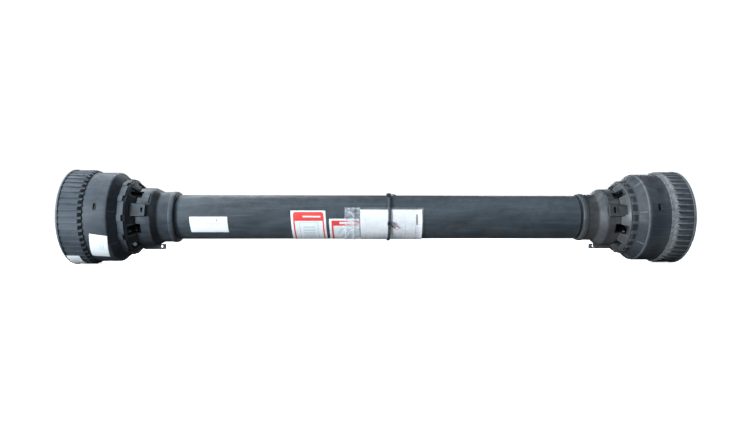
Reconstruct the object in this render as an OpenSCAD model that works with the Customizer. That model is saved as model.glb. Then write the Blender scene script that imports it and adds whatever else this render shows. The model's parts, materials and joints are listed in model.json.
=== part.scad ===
// Universal joint drive shaft: two crosses and yokes, a telescoping three-lobed tube pair and
// a full plastic guard whose halves turn on bearing rings. Millimetres.
// X runs along the shaft, +Z is up and the origin is the middle of the shaft axis with the
// shaft pushed together. The tractor end is at -X and the implement end at +X.
// Most pieces are drawn in an end frame: its origin is a cross centre and +X points outwards.

/* [Shaft] */
// Distance between the two cross centres, pushed together
cross_distance = 860; // [840:5:900]
// Radius of the three lobes of the outer profile tube
lobe_r = 15; // [14:0.1:15]
// Distance from the shaft axis to the middle of a lobe
lobe_offset = 14.4; // [14:0.1:14.4]
// Wall of the outer profile tube
outer_wall = 3; // [2.6:0.1:3.2]
// Wall of the inner profile tube
inner_wall = 4; // [3:0.1:4.4]
// Gap between the two profile tubes
profile_gap = 0.3; // [0.3:0.05:0.5]

/* [Joint kit] */
// Outside diameter of a needle bearing cup
cup_d = 30.2; // [30:0.1:30.5]
// Distance over two opposite cups
kit_length = 80; // [80:0.5:81]
// Diameter of a cross trunnion
trunnion_d = 19.3; // [19:0.1:19.4]
// Diameter of a needle roller
needle_d = 2.9; // [2.5:0.1:3]
// Needle rollers in each cup
needle_count = 20; // [12:1:22]

/* [Yokes] */
// Diameter of the round ear around a cup
ear_d = 46; // [44:0.5:46]
// Length of an outer yoke from the cross centre
outer_yoke_length = 82; // [80:0.5:83]
// Diameter of the outer yoke's hub
outer_hub_d = 58; // [56:0.5:60]
// Major diameter of the six-groove spline bore
spline_major_d = 34.9; // [34.8:0.05:35]
// Minor diameter of the spline bore
spline_minor_d = 30; // [29.8:0.05:30.2]
// Width of one spline groove
spline_groove_w = 8.7; // [8.6:0.05:8.8]
// Travel of the push pin that locks the yoke on its stub
pin_travel = 8.2; // [7.5:0.1:8.4]

/* [Guard] */
// Outside diameter over the ribbed rim
rim_d = 160; // [158:0.5:162]
// Number of ribs round the rim
rib_count = 48; // [36:4:60]
// Height of a rib's step
rib_step = 3.4; // [3:0.1:3.4]
// Outside diameter of the smooth ring behind the rim
ring_d = 150; // [149:0.5:150]
// Outside diameter of the outer guard tube
guard_tube_d = 75; // [75:0.1:75.6]
// Wall of both guard tubes
guard_tube_wall = 2.5; // [2:0.1:2.5]
// Radial gap between the two guard tubes
guard_tube_gap = 0.5; // [0.4:0.1:0.6]
// Diameter of the chain eye in each collar
chain_eye_d = 6; // [5:0.5:6]

/* [Papers] */
// Length of the instruction leaflet along the tube
leaflet_length = 104; // [90:1:110]
// Thickness of the folded leaflet
leaflet_t = 1.5; // [1:0.1:2]
// Width of the cable ties that hold it
tie_w = 4.6; // [3.6:0.1:5]

/* [Hidden] */
$fn = 96;

tractor = -1;
implement = 1;
fit = 0.05;          // gap of a pressed or snug piece
slack = 0.3;         // gap of a piece that turns in plastic
cross_x = cross_distance / 2;

// Profile tubes. The flats between the lobes sit flat_drop inside the lobes' common tangent.
flat_drop = 0.8;
inner_lobe_r = lobe_r - outer_wall - profile_gap;
inner_tube_end = 100;    // free end of each inner tube, measured from the far cross
roll_pin_r = 5;
roll_pin_bore_r = 3.2;
roll_pin_u = 76;         // from the cross to the roll pin
socket_u = 58;           // from the cross to the floor of an inner yoke's socket
hub_end_u = 94;          // from the cross to the end of an inner yoke

// Cross and cups, as distances from the cross centre along a trunnion
cup_r = cup_d / 2 - fit;
cup_out = kit_length / 2;
cup_in = cup_out - 19;
cup_floor = 2.5;
cup_wall = 2.3;
cup_bore_r = cup_r - cup_wall;
trunnion_r = trunnion_d / 2;
trunnion_end = cup_out - cup_floor - 0.3;
shoulder_r = 14.4;
shoulder_end = cup_in - 1.7;
cross_half = 18;         // half width of the cross body
cross_half_t = 14.5;     // half thickness of the cross body
needle_pitch_r = (cup_bore_r + trunnion_r) / 2;
needle_from = cup_in + 2;
needle_to = cup_in + 15;
clip_t = 1.5;
clip_groove_r = cup_d / 2 + 0.9;

// Forks
ear_r = ear_d / 2;
ear_in = 25;             // inner face of an ear
ear_top = cup_out + 3;   // outer face of an ear
ear_bevel_w = 5.5;       // the ears' outer edges are bevelled, to swing past the other fork
ear_bevel_h = 3;
arm_w = 39;
arm_top = 41;
arm_bend_u = 14;
fork_base_u = 40;        // from the cross to the fork's base
throat_r = 26;
throat_u = 8.8;
inner_flange_r = 36;
outer_flange_r = 34;

// Bearing groove in the inner yokes, and the ring that runs in it
groove_u = 44;
groove_w = 8;
groove_depth = 2.5;
ring_out_r = 45.8;
collar_bore_r = 46;

// Outer yoke and push pin. The pin runs along Z beside the spline bore.
outer_hub_r = outer_hub_d / 2;
spline_r = spline_major_d / 2;
pin_u = 62;
pin_y = 22;
pin_r = 6.5;
stem_r = 4.2;
rivet_r = 2.9;
boss_r = 10;
boss_low = -26;
boss_top = 22;
pin_low = -17;
spring_seat = 10.5;
button_r = 7.3;
button_skirt = spring_seat + pin_travel + 0.3;
button_floor = 28.5;
button_top = 31.5;
spring_wire_r = 0.6;
spring_r = 5.5;
spring_turns = 6;

// Guard stations, as distances outwards from the cross centre
guard_end = 85;
ring_end = 45.5;
spigot_end = 54;
shoulder_u = 8;
slot_u = 26.4;           // the hand slot in the smooth ring, in line with a latch
band_u = -4;
band_end = -13;
cone_low = -27;
collar_low = -50;
neck_u = -60;
neck_end = -86;
tube_stop = -58;
rim_r = rim_d / 2;
crest_r = rim_r - 0.4;   // the ribs' crests, just below the plain lip
rim_wall = 2.7;
chamfer_l = 7;           // length over which the ribs fade at their inner ends
lip_l = 3.5;             // plain lip at the mouth
ring_r = ring_d / 2;
collar_r = 49;
guard_tube_r = guard_tube_d / 2;
inner_guard_tube_r = guard_tube_r - guard_tube_wall - guard_tube_gap;
latch_angle = 12;        // the two latch tabs are here and opposite
latch_w = 20.6;
window_pitch = 36;
lug_w = 10;
lug_u = -56.5;           // from the cross to the chain eye
lug_r = 55;

// Labels, leaflet and cable ties on the outer guard tube
label_t = 0.3;
sleeve_t = 0.3;
leaflet_x = -36;
leaflet_r = guard_tube_r + label_t + fit * 2;
sleeve_r = leaflet_r + leaflet_t + fit;
tie_x = 10.6;
tie_r = sleeve_r + sleeve_t + fit;
tie_t = 1.2;

black_plastic = "#4b545e";
nylon = "#d8d5c8";
steel = "#8d9296";
forged = "#5d6063";
white = "#eef1f4";

function polar(r, a) = [r * cos(a), r * sin(a)];

// ---- placing ----

// An end frame: origin at the cross centre, +X outwards
module at_end(side) rotate([0, 0, side > 0 ? 0 : 180]) translate([cross_x, 0, 0]) children();

// Inside an end frame, turns what is drawn at the top (+Z) to the elevation a on the -Y side
module facing(side, a) rotate([side * (90 - a), 0, 0]) children();

// A solid of revolution about X from [radius, x] points
module spun(points) rotate([0, 90, 0]) rotate_extrude() polygon(points);

// The part of such a solid between the elevations a and b on the -Y side
module spun_arc(side, a, b, points)
    rotate([0, 90, 0]) rotate([0, 0, side > 0 ? 270 - b : 90 + a])
        rotate_extrude(angle = b - a) polygon(points);

module rod_x(r, from, to) translate([from, 0, 0]) rotate([0, 90, 0]) cylinder(r = r, h = to - from);
module rod_y(r, h) rotate([90, 0, 0]) cylinder(r = r, h = h, center = true);
module rod_z(r, from, to) translate([0, 0, from]) cylinder(r = r, h = to - from);

// Extrudes an outline drawn in Y and Z along X
module prism(from, to) translate([from, 0, 0]) rotate([90, 0, 90]) linear_extrude(to - from) children();

// Both directions of the ear axis
module both_ears() for (turn = [0, 180]) rotate([turn, 0, 0]) children();

// Turns the fork that is drawn with its ears along Z to the inner or the outer yoke's place
module as_inner() rotate([0, 0, 180]) children();
module as_outer() rotate([90, 0, 0]) children();

// ---- profile tubes ----

module profile_outline(r) {
    for (a = [90, 210, 330]) translate(polar(lobe_offset, a)) circle(r);
    polygon([for (a = [30, 150, 270], side = [-60, 60])
        polar(lobe_offset, a + side) + polar(r - flat_drop, a)]);
}

module profile_tube(r, wall, from, to, pin_x) difference() {
    prism(from, to) difference() {
        profile_outline(r);
        profile_outline(r - wall);
    }
    translate([pin_x, 0, 0]) rod_y(roll_pin_r + fit, 4 * r + 4 * lobe_offset);
}

module outer_profile_tube() color(steel)
    profile_tube(lobe_r, outer_wall, socket_u - cross_x, cross_x - inner_tube_end,
        roll_pin_u - cross_x);

module inner_profile_tube() color(steel)
    profile_tube(inner_lobe_r, inner_wall, inner_tube_end - cross_x, cross_x - socket_u,
        cross_x - roll_pin_u);

// ---- yokes ----

// The two arms and ears of a fork, with the ears along Z and the base towards +X
module fork_arms(flange_r) difference() {
    union() {
        rotate_extrude() polygon([
            [0, -ear_top], [ear_r - ear_bevel_w, -ear_top], [ear_r, ear_bevel_h - ear_top],
            [ear_r, ear_top - ear_bevel_h], [ear_r - ear_bevel_w, ear_top], [0, ear_top],
        ]);
        rotate([90, 0, 0]) linear_extrude(arm_w, center = true) polygon([
            [0, arm_top], [arm_bend_u, arm_top - 1.5], [fork_base_u + 1, flange_r - 3],
            [fork_base_u + 1, 3 - flange_r], [arm_bend_u, 1.5 - arm_top], [0, -arm_top],
        ]);
    }
    translate([-ear_r - 1, -ear_r - 1, -ear_in])
        cube([ear_r + 1 + throat_u, 2 * ear_r + 2, 2 * ear_in]);
    translate([throat_u, 0, 0]) rod_y(throat_r, 2 * ear_r + 4);
    rod_z(cup_d / 2, -ear_top - 1, ear_top + 1);
    both_ears() rod_z(clip_groove_r, cup_out + fit, cup_out + fit + clip_t);
}

function hub_r(side) = (side < 0 ? lobe_r : inner_lobe_r) + lobe_offset + 4.1;

module inner_yoke(side) color(forged) at_end(side) as_inner() difference() {
    union() {
        fork_arms(inner_flange_r);
        spun([
            [0, fork_base_u], [inner_flange_r, fork_base_u], [inner_flange_r, groove_u],
            [hub_r(side) - groove_depth, groove_u],
            [hub_r(side) - groove_depth, groove_u + groove_w],
            [hub_r(side), groove_u + groove_w], [hub_r(side), hub_end_u - 1.5],
            [hub_r(side) - 1.5, hub_end_u], [0, hub_end_u],
        ]);
    }
    prism(socket_u, hub_end_u + 1) profile_outline((side < 0 ? lobe_r : inner_lobe_r) + fit);
    translate([roll_pin_u, 0, 0]) rod_y(roll_pin_r + fit, 3 * hub_r(side));
}

// A slotted spring pin through the hub and the profile tube
module roll_pin(side) color(steel) at_end(side) translate([-roll_pin_u, 0, 0]) difference() {
    rod_y(roll_pin_r, 2 * hub_r(side) - 4);
    rod_y(roll_pin_bore_r, 2 * hub_r(side));
    translate([0, -hub_r(side), -0.8]) cube([2 * roll_pin_r, 2 * hub_r(side), 1.6]);
}

module spline_bore(from, to) {
    rod_x(spline_minor_d / 2, from, to);
    intersection() {
        rod_x(spline_r, from, to);
        for (a = [0, 60, 120]) rotate([a, 0, 0])
            translate([from, -spline_r - 1, -spline_groove_w / 2])
                cube([to - from, 2 * spline_r + 2, spline_groove_w]);
    }
    // lead-in for the stub
    translate([to - 4, 0, 0]) rotate([0, 90, 0]) cylinder(r1 = spline_r - 1, r2 = spline_r + 3, h = 4);
}

// The push pin's frame: origin on the pin's axis, beside the spline bore
module at_pin(side) at_end(side) translate([pin_u, pin_y, 0]) children();

module outer_yoke(side) color(forged) difference() {
    at_end(side) difference() {
        union() {
            as_outer() fork_arms(outer_flange_r);
            spun([
                [0, fork_base_u], [outer_flange_r, fork_base_u],
                [outer_flange_r, fork_base_u + 2], [outer_hub_r, fork_base_u + 8],
                [outer_hub_r, outer_yoke_length - 1.5],
                [outer_hub_r - 1.5, outer_yoke_length], [0, outer_yoke_length],
            ]);
            translate([pin_u, pin_y, 0]) rod_z(boss_r, boss_low, boss_top);
        }
        spline_bore(throat_u + 12, outer_yoke_length + 1);
    }
    at_pin(side) {
        rod_z(pin_r + 0.1, boss_low - 1, 0.3);
        rod_z(stem_r + 0.9, -1, spring_seat + 1);
        rod_z(button_r + 0.3, spring_seat, button_top);
    }
}

// ---- push pin ----

module push_pin(side) color(steel) at_pin(side) {
    rod_z(pin_r, pin_low + 1, 0);
    translate([0, 0, pin_low]) cylinder(r1 = pin_r - 1, r2 = pin_r, h = 1);
    rod_z(stem_r, -1, button_floor - fit);
    rod_z(rivet_r, button_floor - 1, button_top - 0.6);
}

module push_button(side) color(steel) at_pin(side) difference() {
    union() {
        rod_z(button_r, button_skirt, button_top - 1);
        translate([0, 0, button_top - 1]) cylinder(r1 = button_r, r2 = button_r - 1, h = 1);
    }
    rod_z(spring_r + spring_wire_r + 0.25, button_skirt - 1, button_floor);
    rod_z(rivet_r + fit, button_floor - 1, button_top + 1);
}

// A round wire swept along a helix about Z
module helix(r, wire, from, to, turns, around = 12, sides = 6) {
    steps = around * turns;
    rise = (to - from - 2 * wire) / steps;
    points = [for (i = [0:steps], j = [0:sides - 1])
        let (a = 360 * i / around, b = 360 * j / sides)
        [(r + wire * cos(b)) * cos(a), (r + wire * cos(b)) * sin(a),
            from + wire + rise * i + wire * sin(b)]];
    walls = [for (i = [0:steps - 1], j = [0:sides - 1])
        let (k = (j + 1) % sides)
        [i * sides + j, i * sides + k, (i + 1) * sides + k, (i + 1) * sides + j]];
    ends = [[for (j = [sides - 1:-1:0]) j], [for (j = [0:sides - 1]) steps * sides + j]];
    polyhedron(points, concat(walls, ends), convexity = 6);
}

module pin_spring(side) color(steel) at_pin(side)
    helix(spring_r, spring_wire_r, spring_seat + fit, button_floor - fit, spring_turns);

// ---- crosses and cups ----

module bearing_cup() difference() {
    rod_z(cup_r, cup_in, cup_out);
    rod_z(cup_bore_r, cup_in - 1, cup_out - cup_floor);
}

module circlip() translate([0, 0, cup_out + 2 * fit]) difference() {
    cylinder(r = clip_groove_r - 0.1, h = clip_t - 2 * fit);
    translate([0, 0, -1]) cylinder(r = cup_bore_r - 0.7, h = clip_t + 2);
    translate([0, -2.5, -1]) cube([clip_groove_r + 1, 5, clip_t + 2]);
}

module needle_set() for (i = [0:needle_count - 1]) rotate([0, 0, 360 * i / needle_count])
    translate([needle_pitch_r, 0, 0]) rod_z(needle_d / 2, needle_from, needle_to);

module inner_cups(side) color(steel) at_end(side) both_ears() bearing_cup();
module outer_cups(side) color(steel) at_end(side) as_outer() both_ears() bearing_cup();
module inner_circlips(side) color(forged) at_end(side) both_ears() circlip();
module outer_circlips(side) color(forged) at_end(side) as_outer() both_ears() circlip();
module inner_needles(side) color(white) at_end(side) both_ears() needle_set();
module outer_needles(side) color(white) at_end(side) as_outer() both_ears() needle_set();

module cross(side) color(steel) at_end(side) difference() {
    union() {
        intersection() {
            cube([2 * cross_half_t, 2 * cross_half, 2 * cross_half], center = true);
            rotate([45, 0, 0]) cube([40, 45, 45], center = true);
        }
        for (turn = [0:90:270]) rotate([turn, 0, 0]) {
            rod_z(shoulder_r, cross_half - 1, shoulder_end);
            rod_z(trunnion_r, cross_half - 1, trunnion_end);
        }
    }
    // seat of the grease nipple
    rotate([-45, 0, 0]) rod_z(2.5, 16, 30);
}

module cross_seals(side) color("#26282b") at_end(side)
    for (turn = [0:90:270]) rotate([turn, 0, 0]) difference() {
        rod_z(cup_r, shoulder_end + fit, cup_in - fit);
        rod_z(trunnion_r + fit, shoulder_end - 1, cup_in + 1);
    }

module grease_nipple(side) color("#c9b26b") at_end(side) rotate([-45, 0, 0]) {
    rod_z(2.45, 16.1, 25.5);
    translate([0, 0, 25]) cylinder(r = 3.6, h = 2, $fn = 6);
    rod_z(1.9, 26.5, 29.5);
    translate([0, 0, 29]) cylinder(r1 = 2.6, r2 = 1.6, h = 2.4);
}

// ---- guard ----

// The ribbed rim, one ring of columns per rib: the first column stands on the rib's crest and
// the second at its foot, so each rib falls anticlockwise, seen from outside, and steps up.
// Each column is a closed outline of [radius, distance from the cross].
module ribbed_ring() {
    foot_r = crest_r - rib_step;
    // every slat falls from a crest to a foot, outside and inside
    outlines = [for (r = [[crest_r, foot_r - 1.2], [foot_r, foot_r - rim_wall]]) [
        [foot_r - 0.4, ring_end], [r[0], ring_end + chamfer_l], [r[0], guard_end - lip_l],
        [rim_r, guard_end - lip_l + 0.4], [rim_r, guard_end], [foot_r - rim_wall - 0.4, guard_end],
        [r[1], guard_end - lip_l - 1.5], [r[1], ring_end + chamfer_l], [foot_r - rim_wall, ring_end],
    ]];
    rows = len(outlines[0]);
    columns = 2 * rib_count;
    points = [for (i = [0:rib_count - 1], side = [0, 1], at = outlines[side])
        let (p = polar(at[0], 360 * (i + side) / rib_count)) [at[1], p[0], p[1]]];
    faces = [for (i = [0:columns - 1], j = [0:rows - 1])
        let (a = i * rows + j, b = i * rows + (j + 1) % rows,
            c = (i + 1) % columns * rows + (j + 1) % rows, d = (i + 1) % columns * rows + j)
        each [[a, c, b], [a, d, c]]];
    polyhedron(points, faces, convexity = 10);
}

module bell_rim(side) color(black_plastic) at_end(side) ribbed_ring();

// An elongated hole along the top, cut through from the axis outwards
module slot_cut(x, width, length) translate([x, 0, 0]) linear_extrude(rim_r) polygon([
    for (turn = [-1, 1], p = [[width / 4, length / 2], [width / 2, length / 3],
        [width / 2, -length / 3], [width / 4, -length / 2]]) turn * p]);

module bell(side) color(black_plastic) at_end(side) difference() {
    spun([
        [ring_r, ring_end], [ring_r, shoulder_u + 2], [ring_r - 1.2, shoulder_u],
        [63.5, band_u], [63.5, band_end], [61.2, band_end], [61.2, band_u + 1],
        [ring_r - 4.7, shoulder_u], [ring_r - 3.2, shoulder_u + 4],
        [ring_r - 3.2, spigot_end], [ring_r - 1.6, spigot_end], [ring_r - 1.6, ring_end],
    ]);
    // castellated edge of the band
    for (i = [0:11]) facing(side, i * 30 - 2)
        translate([band_end - 1, -5.5, 50]) cube([4.3, 11, 20]);
    facing(side, latch_angle) slot_cut(slot_u, 5.4, 11.4);
}

// Windows between the latches, cut through whatever is there
module windows(side, places, from, to, width) for (i = places)
    facing(side, latch_angle + i * window_pitch)
        translate([from, -width / 2, 42]) cube([to - from, width, 26]);

module cone(side) color(black_plastic) at_end(side) {
    difference() {
        spun([
            [61, band_u + 1], [61, -15], [59.5, -16], [51, cone_low],
            [48.1, cone_low], [48.1, -22], [57.5, -13], [57.5, band_u + 1],
        ]);
        windows(side, [1, 2, 3, 4, 6, 7, 8, 9], cone_low - 1, -17, 17);
    }
    // two latch tabs that reach over the collar
    for (i = [0, 180]) facing(side, latch_angle + i) difference() {
        translate([-45, -latch_w / 2, collar_r + 0.6]) cube([30, latch_w, 4.6]);
        translate([-41, -4, collar_r - 1]) cube([3.2, 8, 8]);
    }
}

function neck_r(side) = side < 0 ? guard_tube_r + 4.9 : guard_tube_r + 2.7;
function tube_seat_r(side) = (side < 0 ? guard_tube_r : inner_guard_tube_r) + fit;

module chain_lug(side) facing(side, -90) difference() {
    translate([lug_u - 5.5, -lug_w / 2, collar_r - 4]) cube([34, lug_w, lug_r - collar_r + 4]);
    // rounded nose
    translate([lug_u - 6, -lug_w, lug_r - 2]) rotate([0, -45, 0]) cube([8, 2 * lug_w, 8]);
}

module chain_eye(side) facing(side, -90) {
    translate([lug_u, 0, lug_r - 4.8]) rod_y(chain_eye_d / 2, 3 * lug_w);
    translate([lug_u - 0.9, -lug_w, lug_r - 4.8]) cube([1.8, 2 * lug_w, 8]);
}

module collar(side) color(black_plastic) at_end(side) difference() {
    union() {
        spun([
            [47.9, -20], [47.9, cone_low - 0.5], [collar_r, cone_low - 0.5],
            [collar_r, collar_low], [neck_r(side) + 1.5, neck_u + 1], [neck_r(side), neck_u],
            [neck_r(side), neck_end + 8], [neck_r(side) + 0.8, neck_end + 7],
            [neck_r(side) + 0.8, neck_end], [tube_seat_r(side), neck_end],
            [tube_seat_r(side), tube_stop], [tube_seat_r(side) - guard_tube_wall, tube_stop],
            [tube_seat_r(side) - guard_tube_wall, tube_stop + 1.5],
            [tube_seat_r(side) + 2, tube_stop + 1.5], [collar_bore_r, collar_low - 0.5],
            [collar_bore_r, -20],
        ]);
        difference() {
            chain_lug(side);
            rod_x(collar_bore_r + 0.2, -100, 0);
        }
    }
    chain_eye(side);
    windows(side, [1, 4, 6, 9], cone_low - 9, cone_low - 1, 17);
    // slots that the latch tabs hook into
    for (i = [0, 180]) facing(side, latch_angle + i)
        translate([-51.5, -9, collar_r - 6]) cube([6.2, 18, 10]);
}

module bearing_ring(side) color(nylon) at_end(side) {
    lip_r = hub_r(side) - groove_depth + slack;
    lip_from = -groove_u - groove_w + slack;
    lip_to = -groove_u - slack;
    web_r = inner_flange_r + 2;
    difference() {
        spun([
            [lip_r, lip_from], [web_r, lip_from], [web_r, lip_from + 2],
            [ring_out_r - 3, lip_from + 2], [ring_out_r - 3, lip_from + 1],
            [ring_out_r, lip_from + 1.2], [ring_out_r, lip_to + 4], [ring_out_r - 3, lip_to + 4],
            [ring_out_r - 3, lip_to - 2], [web_r, lip_to - 2], [web_r, lip_to], [lip_r, lip_to],
        ]);
        // split, so that it snaps over the hub
        translate([lip_from - 1, -1, 0]) cube([20, 2, 60]);
    }
}

module guard_tube(r, from, to) difference() {
    rod_x(r, from, to);
    rod_x(r - guard_tube_wall, from - 1, to + 1);
}

module outer_guard_tube() color(black_plastic)
    guard_tube(guard_tube_r, -cross_x - tube_stop, cross_x + neck_end - 2);

module inner_guard_tube() color(black_plastic)
    guard_tube(inner_guard_tube_r, inner_tube_end - cross_x, cross_x + tube_stop);

// ---- labels, leaflet and ties ----

// A thin patch that lies on a round surface, from x and over an angle on the -Y side
module patch(r, t, x, length, a, b)
    spun_arc(1, a, b, [[r, x], [r + t, x], [r + t, x + length], [r, x + length]]);

module tube_labels() color(white) {
    patch(guard_tube_r + fit, label_t - fit, -318, 62, -43, 0);
    patch(guard_tube_r + fit, label_t - fit, -152, 58, -98, 16);
    patch(guard_tube_r + fit, label_t - fit, -88, 50, -98, -5);
}

module bell_labels() color(white) {
    patch(ring_r + fit, label_t, -cross_x - 38, 24, -62, -22);
    patch(crest_r + fit, label_t, -cross_x - 81.3, 15.3, -78, -52);
}

module instruction_leaflet() color("#f6f7f8")
    patch(leaflet_r, leaflet_t, leaflet_x, leaflet_length, -128, 18);

module leaflet_sleeve() color("#dfe6ea")
    patch(sleeve_r, sleeve_t, leaflet_x - 24, leaflet_length + 26, -132, 22);

// One cable tie: strap from elevation a to b, its head at a
module cable_tie(a, b, tail_turn) {
    patch(tie_r, tie_t, tie_x, tie_w, a, b);
    translate([tie_x + tie_w / 2, 0, 0]) facing(1, a) translate([0, 0, tie_r]) {
        translate([-3.6, -3.5, 0]) cube([7.2, 7, 4]);
        rotate([0, 0, tail_turn]) translate([-1, -12, 3]) cube([2, 10, 0.9]);
    }
}

module cable_ties() color("#15171a") {
    cable_tie(62, 337, 40);
    cable_tie(-16, 54, -50);
}

outer_guard_tube();
collar(tractor);  // tractor_collar
cone(tractor);  // tractor_cone
bell(tractor);  // tractor_bell
bell_rim(tractor);  // tractor_bell_rim
bearing_ring(tractor);  // tractor_bearing_ring
tube_labels();
bell_labels();
instruction_leaflet();
leaflet_sleeve();
cable_ties();
inner_guard_tube();
collar(implement);  // implement_collar
cone(implement);  // implement_cone
bell(implement);  // implement_bell
bell_rim(implement);  // implement_bell_rim
bearing_ring(implement);  // implement_bearing_ring
outer_profile_tube();
inner_yoke(tractor);  // tractor_inner_yoke
roll_pin(tractor);  // tractor_roll_pin
inner_cups(tractor);  // tractor_inner_cups
inner_circlips(tractor);  // tractor_inner_circlips
inner_needles(tractor);  // tractor_inner_needles
inner_profile_tube();
inner_yoke(implement);  // implement_inner_yoke
roll_pin(implement);  // implement_roll_pin
inner_cups(implement);  // implement_inner_cups
inner_circlips(implement);  // implement_inner_circlips
inner_needles(implement);  // implement_inner_needles
cross(tractor);  // tractor_cross
cross_seals(tractor);  // tractor_cross_seals
grease_nipple(tractor);  // tractor_grease_nipple
cross(implement);  // implement_cross
cross_seals(implement);  // implement_cross_seals
grease_nipple(implement);  // implement_grease_nipple
outer_yoke(tractor);  // tractor_outer_yoke
outer_cups(tractor);  // tractor_outer_cups
outer_circlips(tractor);  // tractor_outer_circlips
outer_needles(tractor);  // tractor_outer_needles
push_pin(tractor);  // tractor_push_pin
push_button(tractor);  // tractor_push_button
pin_spring(tractor);  // tractor_pin_spring
outer_yoke(implement);  // implement_outer_yoke
outer_cups(implement);  // implement_outer_cups
outer_circlips(implement);  // implement_outer_circlips
outer_needles(implement);  // implement_outer_needles
push_pin(implement);  // implement_push_pin
push_button(implement);  // implement_push_button
pin_spring(implement);  // implement_pin_spring
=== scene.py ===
"""Looks of the universal joint shaft: a worn black guard with its papers, and the steel joints inside.

Sizes in this file are millimetres unless a name says otherwise. A place near one end of the shaft is
given as u, the distance outwards from that end's cross, r, the distance from the shaft's axis, and an
angle, the elevation seen from the front (-Y): 0 faces the front and 90 is the top.
"""

import json
import math

import bmesh
import bpy
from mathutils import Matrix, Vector, noise

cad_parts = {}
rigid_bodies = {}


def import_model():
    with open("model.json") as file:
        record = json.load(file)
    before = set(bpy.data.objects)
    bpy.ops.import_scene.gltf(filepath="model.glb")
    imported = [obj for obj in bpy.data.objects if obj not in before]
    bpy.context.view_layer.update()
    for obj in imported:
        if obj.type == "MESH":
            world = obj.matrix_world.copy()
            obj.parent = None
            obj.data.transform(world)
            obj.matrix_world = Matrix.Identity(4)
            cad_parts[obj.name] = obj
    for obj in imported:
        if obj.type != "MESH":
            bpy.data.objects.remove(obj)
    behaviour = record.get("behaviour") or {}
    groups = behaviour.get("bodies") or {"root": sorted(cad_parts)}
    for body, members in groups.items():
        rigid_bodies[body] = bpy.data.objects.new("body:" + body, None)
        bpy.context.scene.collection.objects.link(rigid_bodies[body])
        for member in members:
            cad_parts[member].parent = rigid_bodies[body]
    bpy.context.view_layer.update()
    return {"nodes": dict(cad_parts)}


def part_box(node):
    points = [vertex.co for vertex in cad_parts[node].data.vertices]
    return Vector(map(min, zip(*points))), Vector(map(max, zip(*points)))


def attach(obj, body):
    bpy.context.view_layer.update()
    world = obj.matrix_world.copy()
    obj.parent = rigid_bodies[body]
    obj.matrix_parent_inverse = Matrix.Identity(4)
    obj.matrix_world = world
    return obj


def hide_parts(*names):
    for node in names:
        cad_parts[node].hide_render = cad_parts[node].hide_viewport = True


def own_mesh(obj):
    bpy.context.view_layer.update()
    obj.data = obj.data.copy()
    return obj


for leftover in list(bpy.data.objects):
    bpy.data.objects.remove(leftover)

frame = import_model()
NODES = frame["nodes"]

MM = 0.001
CROSS_X = 430.0
ENDS = {"tractor": -1, "implement": 1}
GUARD_BODY = {"tractor": "outer_guard", "implement": "inner_guard"}

RIM_R = 80.0
CREST_R = 79.6
FOOT_R = 76.2
RING_R = 75.0
GUARD_END = 85.0
RING_END = 45.5
RIB_COUNT = 48
COLLAR_R = 49.0
LATCH_ANGLE = 12.0
LATCH_WIDTH = 20.6
WINDOW_PITCH = 36.0
CONE_WINDOWS = (1, 2, 3, 4, 6, 7, 8, 9)
COLLAR_WINDOWS = (1, 4, 6, 9)
TUBE_R = 37.5
INNER_TUBE_R = 34.5
LEAFLET_FROM = -36.0
LEAFLET_TO = 68.0
TIE_FROM = 10.6
TIE_WIDTH = 4.6
SPRING_WIRE_R = 0.6
SPRING_TURNS = 6
SPRING_STEPS = 32
SPRING_SIDES = 10
SPRING_CLOSED = 0.12      # share of the spring that is closed turns, at each end
SPRING_RISE = 1.6         # how far a closed end climbs, in wire radii
FLOOR_GLOW = 0.82        # keeps the studio floor near white where the camera sees it


# ---- materials ----

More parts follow.
